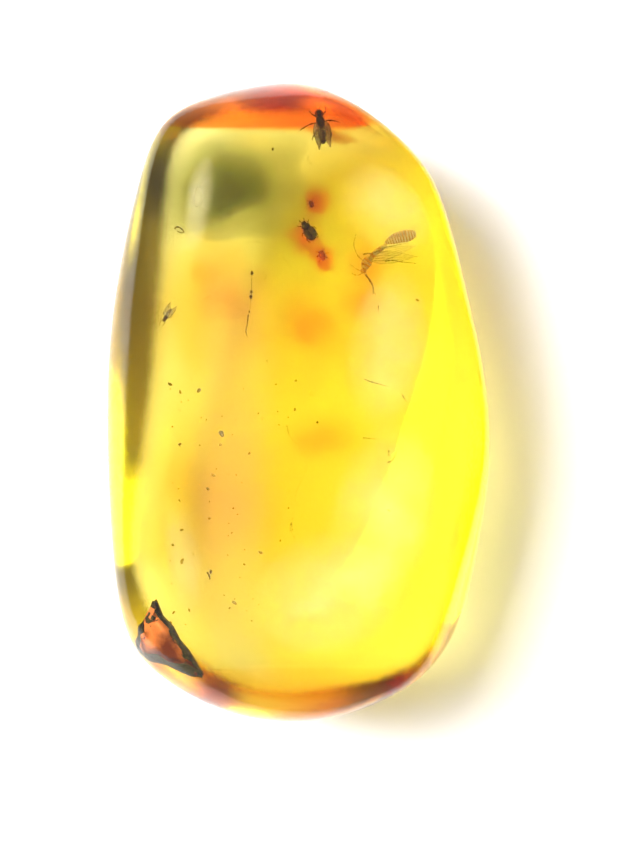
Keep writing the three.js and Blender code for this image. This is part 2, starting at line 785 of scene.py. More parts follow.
@dataclass(frozen=True)
class Stone:
    """The amber itself, as a ball drawn out to its ground flats and cut off at its base.

    "base_edge" is the width of the ring that keeps the base's edge crisp. The higher "press" is,
    the nearer the skin a spot lies before keep_inside moves it.
    """

    belt_height: float = 4.8
    belly_depth: float = 5.0
    thickness: float = 8.5
    outline_sharpness: float = 20
    crown_sharpness: float = 22
    belly_sharpness: float = 10
    belt_softness: float = 0.2
    dome_across: float = 30
    dome_along: float = 90
    dome_x: float = 1.0
    fineness: int = 7
    base_edge: float = 0.05
    press: float = 6

    def reach(self, heading: Vector) -> float:
        """Finds how far the skin lies from the stone's middle.

        Args:
            heading: a unit vector.

        Returns:
            The distance along the heading.
        """
        others, sides = (
            [max(0.0, flat.normal().dot(heading)) / flat.away for flat in flats]
            for flats in (SHOULDER_FLATS + KEEL_FLATS, OUTLINE_FLATS)
        )
        outline = blend(sides, self.outline_sharpness)
        crown = 1 / self.dome_reach(heading)
        belly = max(0.0, -heading.z) / self.belly_depth
        upward = (1 + math.tanh(heading.z / self.belt_softness)) / 2
        sharpness = self.belly_sharpness + (self.crown_sharpness - self.belly_sharpness) * upward
        return 1 / blend([outline, crown, belly, *others], sharpness)

    def dome_reach(self, heading: Vector) -> float:
        """Finds how far the low dome of the crown lies from the stone's middle.

        Args:
            heading: a unit vector.

        Returns:
            The distance along the heading.
        """
        top = self.thickness - self.belt_height
        squash = Vector((1 / self.dome_across, 1 / self.dome_along, 1 / self.dome_across))
        step = heading * squash
        middle = Vector((self.dome_x, 0, top - self.dome_across)) * squash
        along = step.dot(middle)
        short = step.length_squared * (middle.length_squared - 1)
        return (along + math.sqrt(along * along - short)) / step.length_squared

    def shape(self, fineness: int, depth: float = 0.0) -> bmesh.types.BMesh:
        """Makes the stone's shape, or the same shape some way under its skin.

        Args:
            fineness: how often the ball that it is drawn from is divided.
            depth: how far under the skin it runs.

        Returns:
            The closed mesh.
        """
        bm = bmesh.new()
        bmesh.ops.create_icosphere(bm, subdivisions=fineness, radius=1)
        for vert in bm.verts:
            heading = vert.co.normalized()
            vert.co = heading * (self.reach(heading) - depth)
            vert.co.z += self.belt_height
        cut_off(bm, Vector((0, 0, depth)), Vector((0, 0, 1)))
        return bm

    def keep_inside(self, spot: Vector, depth: float) -> Vector:
        """Presses a spot in under the skin, by more the nearer the skin it lies.

        Args:
            spot: the spot.
            depth: how far under the skin it has to lie, at least.

        Returns:
            The spot, moved towards the stone's middle.
        """
        step = spot - Vector((0, 0, self.belt_height))
        limit = self.reach(step.normalized()) - depth
        share = step.length / limit
        return spot - step * (1 - (1 + share**self.press) ** (-1 / self.press))

    def build(self) -> None:
        """Builds and dresses the stone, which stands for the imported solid."""
        bm = self.shape(self.fineness)
        base = max(bm.faces, key=lambda face: len(face.verts))
        bmesh.ops.inset_region(bm, faces=[base], thickness=self.base_edge, use_even_offset=True)
        self.bring_to_size(bm)
        piece = finish_piece("amber_stone", bm, AmberFinish().material(), Slot.AMBER)
        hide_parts("amber")

    def bring_to_size(self, bm: bmesh.types.BMesh) -> None:
        """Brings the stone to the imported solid's box.

        Args:
            bm: the stone's mesh.
        """
        low, high = (Vector(corner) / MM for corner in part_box("amber"))
        least, most = (Vector(map(pick, zip(*(v.co for v in bm.verts)))) for pick in (min, max))
        size, want = most - least, high - low
        middle, place = (least + most) / 2, (low + high) / 2
        bmesh.ops.translate(bm, verts=bm.verts, vec=(-middle.x, -middle.y, -least.z))
        grown = (want.x / size.x, want.y / size.y, want.z / size.z)
        bmesh.ops.scale(bm, verts=bm.verts, vec=grown)
        bmesh.ops.translate(bm, verts=bm.verts, vec=(place.x, place.y, low.z))


# What is sealed in it, and the painted shade and reflection laid inside it


@dataclass(frozen=True)
class Fly:
    """The dark fly near the narrow end, with its wings folded over its back."""

    pose: Pose = Pose((1.10, 12.73, 6.9), yaw=100, pitch=-4, roll=8, scale=1.07)
    shell: CuticleFinish = CuticleFinish("fly_shell", (0.012, 0.008, 0.004), (0.07, 0.04, 0.012))
    rings: CuticleFinish = CuticleFinish(
        "fly_abdomen_shell", (0.02, 0.012, 0.004), (0.12, 0.06, 0.015), band_count=5
    )
    lens: BlotchFinish = BlotchFinish(
        "fly_eye_lens", (0.10, 0.02, 0.006), (0.25, 0.06, 0.02), blotch_size=0.02
    )
    film: WingFinish = WingFinish("fly_wing_film", film=(0.2, 0.13, 0.04), film_solid=0.45)

    def build(self, effects: Effects) -> None:
        """Builds and dresses the fly.

        Args:
            effects: the shared shader node groups.
        """
        place = self.pose.matrix()
        shell = self.shell.material(effects)
        rings = self.rings.material(effects)
        lens = self.lens.material(effects)
        chest = Limb(((-0.22, 0, 0), (0.05, 0, 0.06), (0.34, 0, 0)), 0.19, Profile.EGG, flat=1.1)
        head = Limb(((0.3, 0, -0.02), (0.56, 0, -0.04)), 0.15, Profile.EGG, flat=0.9)
        tail_path = ((-0.12, 0, 0.0), (-0.45, 0, -0.02), (-0.86, 0, -0.1))
        tail = Limb(tail_path, 0.19, Profile.RINGED, bulge=0.4, rings=6)
        build_parts("fly_thorax", [chest], place, shell)
        build_parts("fly_head", [head], place, shell)
        build_parts("fly_abdomen", [tail], place, rings)
        eyes = [
            Limb(((0.34, y, 0.02), (0.50, y * 1.1, 0.0)), 0.075, Profile.EGG) for y in (0.1, -0.1)
        ]
        build_parts("fly_eyes", eyes, place, lens)
        feelers = [
            Limb(((0.54, y / 2, 0), (0.62, y, 0.02), (0.72, y * 1.4, 0.0)), 0.018)
            for y in (0.06, -0.06)
        ]
        build_parts("fly_antennae", feelers, place, shell)
        legs = [
            *leg_pair(0.24, (0.42, 0.26, 0.02), (0.62, 0.34, -0.3), 0.032),
            *leg_pair(0.06, (0.06, 0.42, 0.05), (-0.12, 0.86, -0.3), 0.036),
            *leg_pair(-0.1, (-0.36, 0.3, 0.04), (-0.62, 0.42, -0.34), 0.036),
        ]
        build_parts("fly_legs", legs, place, shell)
        film = self.film.material()
        for side, name in ((1, "fly_wing_left"), (-1, "fly_wing_right")):
            wing = Wing((0.12, 0.1 * side, 0.15), 1.2, 0.46, yaw=-7 * side, lift=-6)
            build_parts(name, [wing], place, film)
        bristles = [
            Limb(((x, y, 0.17), (x - 0.05, y * 1.3, 0.26)), 0.006)
            for x in (-0.15, -0.05, 0.05, 0.15)
            for y in (-0.09, -0.03, 0.03, 0.09)
        ]
        build_parts("fly_bristles", bristles, place, shell)


@dataclass(frozen=True)
class Beetle:
    """The small dark beetle in the middle of the orange stains."""

    pose: Pose = Pose((0.55, 7.86, 6.6), yaw=122, pitch=-5, roll=6)
    shell: CuticleFinish = CuticleFinish(
        "beetle_shell", (0.018, 0.016, 0.004), (0.09, 0.075, 0.012), band_share=0.1, relief=0.01
    )

    def build(self, effects: Effects) -> None:
        """Builds and dresses the beetle.

        Args:
            effects: the shared shader node groups.
        """
        place = self.pose.matrix()
        shell = self.shell.material(effects)
        for name, y in (("beetle_wing_case_left", 0.1), ("beetle_wing_case_right", -0.1)):
            path = ((0.16, y, 0.02), (-0.15, y * 1.1, 0.06), (-0.46, y * 0.6, 0))
            build_parts(name, [Limb(path, 0.17, Profile.EGG)], place, shell)
        belly = Limb(((0.2, 0, -0.06), (-0.15, 0, -0.1), (-0.5, 0, -0.08)), 0.22, Profile.RINGED)
        build_parts("beetle_belly", [belly], place, shell)
        shield = Limb(((0.08, 0, 0), (0.36, 0, 0)), 0.2, Profile.EGG, flat=0.75)
        build_parts("beetle_shield", [shield], place, shell)
        head = Limb(((0.3, 0, -0.03), (0.48, 0, -0.05)), 0.12, Profile.EGG, flat=0.8)
        build_parts("beetle_head", [head], place, shell)
        legs = [
            *leg_pair(0.2, (0.34, 0.2, -0.04), (0.44, 0.3, -0.16), 0.026),
            *leg_pair(0.0, (0.02, 0.28, -0.04), (-0.12, 0.36, -0.2), 0.026),
            *leg_pair(-0.2, (-0.3, 0.26, -0.04), (-0.52, 0.2, -0.2), 0.026),
        ]
        build_parts("beetle_legs", legs, place, shell)
        feelers = [
            Limb(((0.44, y, 0), (0.54, 2 * y, 0.02), (0.62, 2 * y, 0)), 0.02, Profile.BEADED)
            for y in (0.05, -0.05)
        ]
        build_parts("beetle_antennae", feelers, place, shell)


@dataclass(frozen=True)
class Mite:
    """A small soft body with short legs."""

    name: str
    pose: Pose
    dark: Colour
    light: Colour

    def build(self, effects: Effects) -> None:
        """Builds and dresses the mite.

        Args:
            effects: the shared shader node groups.
        """
        place = self.pose.matrix()
        finish = BlotchFinish(f"{self.name}_skin", self.dark, self.light, roughness=0.5)
        skin = finish.material(effects)
        body = Limb(((0.2, 0, 0), (0, 0, 0.03), (-0.24, 0, 0)), 0.15, Profile.RINGED, rings=5)
        build_parts(f"{self.name}_body", [body], place, skin)
        legs = [
            *leg_pair(0.12, (0.2, 0.14, 0), (0.3, 0.24, -0.08), 0.016),
            *leg_pair(0.0, (0.02, 0.2, 0), (0.0, 0.3, -0.08), 0.016),
            *leg_pair(-0.12, (-0.18, 0.16, 0), (-0.3, 0.24, -0.08), 0.016),
        ]
        build_parts(f"{self.name}_legs", legs, place, skin)


MITES = (
    Mite(
        "mite_upper",
        Pose((0.69, 9.1, 6.6), yaw=105, scale=0.7),
        (0.02, 0.012, 0.003),
        (0.2, 0.08, 0.01),
    ),
    Mite("mite_lower", Pose((1.17, 6.73, 6.5), yaw=110), (0.20, 0.05, 0.004), (0.50, 0.16, 0.01)),
)


@dataclass(frozen=True)
class Gnat:
    """The pale gnat: a thin body with a banded tail, long legs and clear wings.

    Its parts are given where they lie in the stone, because each hangs in its own bend.
    """

    level: float = 6.5
    tail_skin: CuticleFinish = CuticleFinish(
        "gnat_tail_skin",
        (0.40, 0.16, 0.01),
        (0.90, 0.50, 0.05),
        blotch_size=0.25,
        band=(0.34, 0.13, 0.01),
        band_count=13,
        band_share=0.45,
        between_bands=0.4,
    )
    skin: CuticleFinish = CuticleFinish(
        "gnat_skin",
        (0.45, 0.20, 0.01),
        (0.9, 0.60, 0.06),
        band=(0.35, 0.15, 0.01),
        band_count=3,
        between_bands=0.3,
    )
    leg_shell: CuticleFinish = CuticleFinish(
        "gnat_leg_shell",
        (0.05, 0.03, 0.004),
        (0.22, 0.14, 0.02),
        band_count=6,
        band_share=0.6,
        between_bands=0.6,
    )
    film: WingFinish = WingFinish("gnat_wing_film", film_solid=0.06, vein_solid=0.22)

    def at(self, x: float, y: float, drop: float = 0.0) -> Point:
        """Places a point of the gnat.

        Args:
            x: across the stone.
            y: along the stone.
            drop: how far under the gnat's own level.

        Returns:
            The point.
        """
        return (x, y, self.level - drop)

    def build(self, effects: Effects) -> None:
        """Builds and dresses the gnat.

        Args:
            effects: the shared shader node groups.
        """
        at = self.at
        here = Matrix.Identity(4)
        tail_skin = self.tail_skin.material(effects)
        skin = self.skin.material(effects)
        shell = self.leg_shell.material(effects)
        tail_path = (at(4.0, 7.3), at(4.65, 7.55), at(5.42, 7.72))
        tail = Limb(tail_path, 0.29, Profile.RINGED, flat=0.8, bulge=0.62, rings=11)
        build_parts("gnat_tail", [tail], here, tail_skin)
        gut_path = (at(4.25, 7.55, 0.1), at(4.62, 7.67, 0.1), at(5.0, 7.75, 0.1))
        build_parts("gnat_gut", [Limb(gut_path, 0.08, Profile.EGG)], here, shell)
        waist = Limb((at(3.25, 6.5), at(3.6, 6.85), at(4.1, 7.25)), 0.14, Profile.RINGED, rings=6)
        build_parts("gnat_waist", [waist], here, skin)
        chest = Limb((at(3.38, 6.62), at(3.18, 6.38), at(3.08, 6.08)), 0.23, Profile.EGG)
        build_parts("gnat_thorax", [chest], here, skin)
        head = Limb((at(3.08, 6.12), at(3.0, 5.88)), 0.13, Profile.EGG)
        build_parts("gnat_head", [head], here, skin)
        feelers = [
            Limb((at(2.98, 5.9), at(2.74, 5.8), at(2.5, 5.9)), 0.022, Profile.BEADED, rings=9),
            Limb((at(2.95, 6.0), at(2.7, 6.1), at(2.45, 6.3)), 0.022, Profile.BEADED, rings=9),
        ]
        build_parts("gnat_antennae", feelers, here, skin)
        legs = [
            Limb((at(3.13, 5.84), at(3.35, 5.53), at(3.48, 5.23), at(3.46, 4.93)), 0.045),
            Limb((at(3.48, 5.1), at(3.53, 5.0), at(3.6, 4.9)), 0.02),
            Limb((at(3.71, 4.42), at(3.72, 4.3), at(3.71, 4.12)), 0.026),
            Limb((at(4.03, 6.46), at(4.36, 6.5), at(4.7, 6.44), at(5.42, 6.36)), 0.034),
            Limb((at(3.02, 6.77), at(3.8, 6.92), at(4.05, 7.1), at(4.4, 7.17), at(5.11, 7.32)), 0.03),
            Limb((at(3.2, 6.3, 0.1), at(2.8, 6.7, 0.2), at(2.6, 7.2, 0.2), at(2.7, 7.7, 0.3)), 0.02),
        ]
        build_parts("gnat_legs", legs, here, shell)
        film = self.film.material()
        for name, yaw, drop in (("gnat_wing_left", 15, 0.0), ("gnat_wing_right", 2, 0.15)):
            seat = Pose(at(3.3, 6.6, drop), yaw=180).matrix()
            build_parts(name, [Wing((0, 0, 0.1), 2.2, 0.6, yaw=yaw)], seat, film)


@dataclass(frozen=True)
class Midge:
    """The tiny winged insect near the stone's long ground edge."""

    pose: Pose = Pose((-5.9, 3.95, 6.6), yaw=238, pitch=3, roll=14, scale=0.62)
    shell: CuticleFinish = CuticleFinish("midge_shell", (0.03, 0.015, 0.004), (0.16, 0.09, 0.02))
    film: WingFinish = WingFinish("midge_wing_film", film_solid=0.12, vein_count=3)

    def build(self, effects: Effects) -> None:
        """Builds and dresses the midge.

        Args:
            effects: the shared shader node groups.
        """
        place = self.pose.matrix()
        shell = self.shell.material(effects)
        body = {
            "thorax": Limb(((-0.05, 0, 0), (0.3, 0, 0.02)), 0.17, Profile.EGG),
            "head": Limb(((0.26, 0, 0), (0.5, 0, -0.02)), 0.1, Profile.EGG),
            "tail": Limb(((0.02, 0, 0), (-0.35, 0, 0), (-0.62, 0.03, 0)), 0.12, Profile.RINGED),
        }
        for name, part in body.items():
            build_parts(f"midge_{name}", [part], place, shell)
        legs = [
            *leg_pair(0.2, (0.46, 0.16, 0), (0.9, 0.08, -0.1), 0.03),
            *leg_pair(0.05, (0.0, 0.3, 0), (-0.3, 0.4, -0.2), 0.026),
            *leg_pair(-0.05, (-0.3, 0.26, 0), (-0.7, 0.3, -0.2), 0.026),
        ]
        build_parts("midge_legs", legs, place, shell)
        film = self.film.material()
        for side, name in ((1, "midge_wing_left"), (-1, "midge_wing_right")):
            wing = Wing((0.1, 0.06 * side, 0.1), 1.15, 0.42, yaw=-12 * side)
            build_parts(name, [wing], place, film)


@dataclass(frozen=True)
class Hair:
    """Hairs, loose legs and grains that lie level in the amber and make one piece.

    A line is its half width and its points, and a grain is its place, its half width and its
    half length.
    """

    name: str
    level: float
    lines: tuple[tuple[float, tuple[tuple[float, float], ...]], ...] = ()
    grains: tuple[tuple[float, float, float, float], ...] = ()

    def build(self, finish: bpy.types.Material) -> None:
        """Builds and dresses the hairs.

        Args:
            finish: their finish.
        """
        parts = [
            Limb(tuple((x, y, self.level) for x, y in path), width) for width, path in self.lines
        ]
        parts += [
            Limb(((x, y - high, self.level), (x, y + high, self.level)), wide, Profile.EGG, rings=3)
            for x, y, wide, high in self.grains
        ]
        build_parts(self.name, parts, Matrix.Identity(4), finish)


HAIR_SHELL = CuticleFinish(
    "hair", (0.05, 0.025, 0.004), (0.25, 0.14, 0.02), band_count=5, band_share=0.6
)
CURL = ((-5.55, 7.96), (-5.42, 8.05), (-5.22, 7.96), (-5.12, 7.82), (-5.25, 7.78), (-5.42, 7.86))
HAIRS = (
    Hair(
        "upright_hair",
        6.6,
        lines=(
            (0.036, ((-2.17, 3.98), (-2.21, 3.55), (-2.27, 3.22), (-2.22, 3.0))),
            (0.012, ((-2.0, 6.05), (-2.03, 4.9), (-2.1, 4.2), (-2.17, 3.98))),
        ),
        grains=(
            (-2.0, 5.9, 0.06, 0.09),
            (-2.03, 5.04, 0.05, 0.08),
            (-2.05, 4.82, 0.06, 0.10),
            (-2.12, 4.13, 0.035, 0.05),
        ),
    ),
    Hair(
        "loose_legs_upper",
        6.4,
        lines=(
            (0.03, ((3.08, 1.02), (3.4, 0.9), (3.75, 0.8), (4.15, 0.69))),
            (0.03, ((4.78, 0.35), (4.85, 0.2), (4.97, 0.03))),
            (0.018, ((3.03, -1.67), (3.3, -1.7), (3.58, -1.72))),
        ),
    ),
    Hair(
        "loose_legs_lower",
        6.4,
        lines=(
            (0.03, ((4.17, -2.25), (4.18, -2.53))),
            (0.034, ((4.13, -2.8), (4.27, -2.76), (4.4, -2.66))),
            (0.018, ((4.4, -2.66), (4.48, -2.48), (4.56, -2.25))),
        ),
    ),
    Hair("curled_hair", 6.6, lines=((0.045, CURL),)),
    Hair(
        "bark_scrap",
        7.0,
        lines=((0.05, ((-4.05, -7.86), (-3.97, -8.02), (-3.93, -8.18))),),
        grains=((-3.9, -7.84, 0.05, 0.1), (0.96, -0.97, 0.04, 0.05), (-1.07, 11.58, 0.05, 0.07)),
    ),
)


@dataclass(frozen=True)
class Strays:
    """Grains of dust and round bubbles scattered in the amber."""

    seed: int = 11
    large_grains: tuple[Point, ...] = ((-4.45, 0.5, 0.08), (-3.4, -1.48, 0.1), (5.5, 4.67, 0.05))
    speck_count: int = 70
    speck_reach: float = 5.8
    bubble_count: int = 14

    def build(self, effects: Effects) -> None:
        """Builds and dresses them all.

        Args:
            effects: the shared shader node groups.
        """
        draw = random.Random(self.seed)
        self.build_dust(draw, effects)
        self.build_bubbles(draw)

    def build_dust(self, draw: random.Random, effects: Effects) -> None:
        """Builds the grains: the large ones, then specks, thickest towards the stone's -X edge.

        Args:
            draw: what gives the chances.
            effects: the shared shader node groups.
        """
        spots = list(self.large_grains)
        for _ in range(self.speck_count):
            x = -self.speck_reach + self.speck_reach * draw.random() ** 1.5
            spots.append((x, draw.uniform(-10.4, 1.0), 0.02 + 0.05 * draw.random() ** 3))
        grains = bmesh.new()
        for x, y, size in spots:
            made = bmesh.ops.create_icosphere(grains, subdivisions=2, radius=size)["verts"]
            shape = (
                Matrix.Translation((x, y, draw.uniform(7.0, 7.6) - x * x * 0.012))
                @ Matrix.Rotation(draw.uniform(0, math.tau), 4, "Z")
                @ Matrix.Diagonal((draw.uniform(1, 2.2), 1, 0.6, 1))
            )
            bmesh.ops.transform(grains, matrix=shape, verts=made)
        dust = BlotchFinish("dust", (0.10, 0.08, 0.01), (0.45, 0.30, 0.04), blotch_size=0.5)
        finish_piece("dust_grains", grains, dust.material(effects), Slot.INSECT)

    def build_bubbles(self, draw: random.Random) -> None:
        """Builds the bubbles.

        Args:
            draw: what gives the chances.
        """
        bubbles = bmesh.new()
        for _ in range(self.bubble_count):
            size = draw.uniform(0.03, 0.09)
            spot = (draw.uniform(-6, 3), draw.uniform(-9, 3), draw.uniform(4, 7))
            made = bmesh.ops.create_icosphere(bubbles, subdivisions=3, radius=size)["verts"]
            bmesh.ops.translate(bubbles, verts=made, vec=spot)
        air = ClearFinish("bubble_air", bending=1.2)
        finish_piece("fine_bubbles", bubbles, air.material(), Slot.AMBER)


@dataclass(frozen=True)
class Cloud:
    """A lump that takes light away, thinning towards its rim; most are stains and clouds, some
    painted shade.
    """

    name: str
    spot: Point
    radii: Point
    yaw: float
    absorbs: Colour
    lumpiness: float = 0.4
    lump_size: float = 1.0
    thinning: int = 5
    depth: float = 0.3

    def build(self, stone: Stone) -> None:
        """Builds and dresses the cloud, as a ball flattened to a lens and pushed in and out.

        Args:
            stone: the stone that it lies in.
        """
        bm = bmesh.new()
        bmesh.ops.create_icosphere(bm, subdivisions=5, radius=1)
        shift = Vector(self.spot) * 3
        for vert in bm.verts:
            lens = Vector((vert.co.x, vert.co.y, vert.co.z**self.thinning))
            here = lens * Vector(self.radii)
            swell = noise.noise(here / self.lump_size + shift)
            vert.co = here * (1 + self.lumpiness * swell)
        seat = Matrix.Translation(self.spot) @ Matrix.Rotation(math.radians(self.yaw), 4, "Z")
        bmesh.ops.transform(bm, matrix=seat, verts=bm.verts)
        for vert in bm.verts:
            vert.co = stone.keep_inside(vert.co, self.depth)
        finish = ClearFinish(f"{self.name}_haze", absorbs=self.absorbs)
        finish_piece(self.name, bm, finish.material(), Slot.STAIN, turn_faces=False)


GREEN_HAZE = (0.27, 0.26, 0.40)
GREY_HEART = (0.14, 0.14, 0.40)
# Painted shade: this gold darkens the left of the stone, where less light reaches the floor through
# it.
GOLD = (0.01, 0.07, 0.35)
DEEP_GOLD = (0.0, 0.16, 0.6)
# Painted shade: this olive gold darkens the left of the stone in the same way.
OLIVE_GOLD = (0.04, 0.13, 0.5)
ORANGE = (0.05, 1.0, 2.6)
PALE_ORANGE = (0.0, 0.3, 0.7)
SMOKY_BROWN = (0.35, 0.8, 1.4)
SEA_GREEN = (0.24, 0.10, 0.22)

CLOUDS = (
    Cloud("green_cloud", (-3.4, 10.7, 4.6), (5.0, 4.2, 3.2), 0, GREEN_HAZE, 0.3, 2.0),
    Cloud("green_cloud_heart", (-3.4, 10.3, 5.0), (2.7, 2.4, 2.0), 0, GREY_HEART, 0.35, 1.2),
    Cloud("gold_cloud_middle", (0.6, 3.6, 5.2), (1.6, 1.9, 1.6), 10, DEEP_GOLD, 0.6, 1.0),
    Cloud("gold_cloud_low", (1.15, -1.78, 5.2), (2.0, 1.2, 1.4), 15, DEEP_GOLD, 0.6, 0.9),
    # Painted shade: the next three clouds darken the left of the stone to gold, where less light
    # passes through it to the floor.
    Cloud("shade_cloud_side", (-4.2, 4.2, 4.6), (4.0, 5.0, 2.6), 5, GOLD, lump_size=1.8),
    Cloud("shade_cloud_wide", (-4.0, -4.5, 4.4), (4.6, 8.0, 2.6), 0, GOLD, lump_size=2.6),
    Cloud("shade_cloud_core", (-3.3, 5.4, 5.2), (2.2, 3.0, 1.8), 20, OLIVE_GOLD, 0.6, 1.2),
    Cloud("stain_beetle", (0.4, 7.6, 6.4), (0.95, 1.1, 0.7), 20, ORANGE, lump_size=0.5),
    Cloud("stain_upper", (0.9, 9.35, 6.5), (0.8, 1.2, 0.7), -10, ORANGE, lump_size=0.5),
    Cloud("stain_lower", (1.17, 6.65, 6.4), (0.8, 1.1, 0.7), 15, ORANGE, lump_size=0.4),
    Cloud("stain_gnat", (3.2, 6.4, 6.3), (1.4, 1.6, 0.8), 20, PALE_ORANGE, lump_size=0.8),
    Cloud("stain_fly", (1.7, 13.6, 6.0), (1.7, 0.8, 1.0), -15, SMOKY_BROWN, 0.5, 0.8),
    Cloud("green_rim", (8.5, -7.4, 4.6), (1.2, 4.6, 2.4), -9, SEA_GREEN, 0.5, 0.9),
    Cloud("stain_cheek", (2.9, 4.6, 5.8), (1.6, 1.2, 0.8), 0, PALE_ORANGE, lump_size=0.7),
)


@dataclass(frozen=True)
class VeilFinish:
    """A white film fading out from its middle: partly milky haze, partly painted reflection."""

    name: str
    white: Colour = (0.95, 0.93, 0.80)
    solid: float = 0.2
    patch_size: float = 1.8

    def material(self) -> bpy.types.Material:
        """Returns the material."""
        made, tree, shader = start_material(self.name)
        shader.inputs["Base Color"].default_value = (*self.white, 1)
        shader.inputs["Roughness"].default_value = 0.9
        shader.inputs["Specular IOR Level"].default_value = 0.0
        place = tree.nodes.new("ShaderNodeTexCoord")
        patch = tree.nodes.new("ShaderNodeTexNoise")
        patch.inputs["Scale"].default_value = 1 / (self.patch_size * MM)
        tree.links.new(place.outputs["Object"], patch.inputs["Vector"])
        fade = tree.nodes.new("ShaderNodeAttribute")
        fade.attribute_name = ALONG
        thick = math_node(tree, "MULTIPLY", fade.outputs["Fac"], patch.outputs["Fac"])
        tree.links.new(math_node(tree, "MULTIPLY", thick, 2 * self.solid), shader.inputs["Alpha"])
        return made


@dataclass(frozen=True)
class Veil:
    """A veil: a thin, slightly wavy white sheet; partly fine-bubble haze, partly painted reflection.
    """

    name: str
    spot: Point
    radii: tuple[float, float]
    yaw: float = 0.0
    solid: float = 0.2
    wave: float = 0.12
    film: float = 0.02
    depth: float = 0.3

    def build(self, stone: Stone) -> None:
        """Builds and dresses the veil from a grid brought to an oval.

        Args:
            stone: the stone that it lies in.
        """
        bm = bmesh.new()
        fade = bm.verts.layers.float.new(ALONG)
        bmesh.ops.create_grid(bm, x_segments=24, y_segments=24, size=1)
        for vert in bm.verts:
            x, y = vert.co.x, vert.co.y
            vert.co.x = x * math.sqrt(1 - y * y / 2)
            vert.co.y = y * math.sqrt(1 - x * x / 2)
            vert[fade] = max(1 - vert.co.length_squared, 0.0) ** 1.5
            vert.co.x *= self.radii[0]
            vert.co.y *= self.radii[1]
        seat = Matrix.Translation(self.spot) @ Matrix.Rotation(math.radians(self.yaw), 4, "Z")
        bmesh.ops.transform(bm, matrix=seat, verts=bm.verts)
        for vert in bm.verts:
            vert.co.z += self.wave * noise.noise(vert.co)
            vert.co = stone.keep_inside(vert.co, self.depth)
        bmesh.ops.solidify(bm, geom=bm.faces[:], thickness=self.film)
        finish = VeilFinish(f"{self.name}_film", solid=self.solid)
        finish_piece(self.name, bm, finish.material(), Slot.AMBER)


# Painted reflection, partly milky haze: white sheets under the polished top that pale the amber as a
# sheen would.
SHEEN_VEILS = (
    Veil("sheen_veil_upper", (4.6, 9.7, 7.2), (2.8, 2.8)),
    Veil("sheen_veil_side", (4.4, 2.6, 7.4), (2.2, 4.2), -8),
    Veil("sheen_veil_right", (4.2, -5.3, 7.3), (2.8, 4.6), -10),
    Veil("sheen_veil_low", (1.6, -9.3, 7.4), (4.2, 3.4), 20),
    Veil("sheen_veil_left", (-5.5, -8.0, 7.0), (1.2, 3.2), 5, solid=0.11),
    Veil("sheen_veil_streak", (-4.85, 10.0, 7.3), (0.9, 2.7), -6, solid=0.24),
)


@dataclass(frozen=True)
class EndShade:
    """The deeper orange of one end of the stone: painted shade for the long paths light takes there.
    """

    name: str
    spot: Point
    keep: Point
    absorbs: Colour
    depth: float = 0.15

    def build(self, stone: Stone) -> None:
        """Builds and dresses the painted shade, which fills the stone's end beyond a plane.

        Args:
            stone: the stone that it lies in.
        """
        bm = stone.shape(6, self.depth)
        cut_off(bm, Vector(self.spot), Vector(self.keep))
        finish = ClearFinish(f"{self.name}_haze", absorbs=self.absorbs)
        finish_piece(self.name, bm, finish.material(), Slot.STAIN)


# Painted shade: deeper orange at the two ends, standing in for the long paths that light takes
# through them.
END_SHADES = (
    EndShade("end_shade_narrow", (0.0, 12.6, 7.5), (0.0, 1.0, 0.0), (0.0, 0.22, 0.55)),
    EndShade("end_shade_wide", (0.0, -12.3, 7.5), (0.0, -1.0, 0.0), (0.0, 0.03, 0.12)),
)


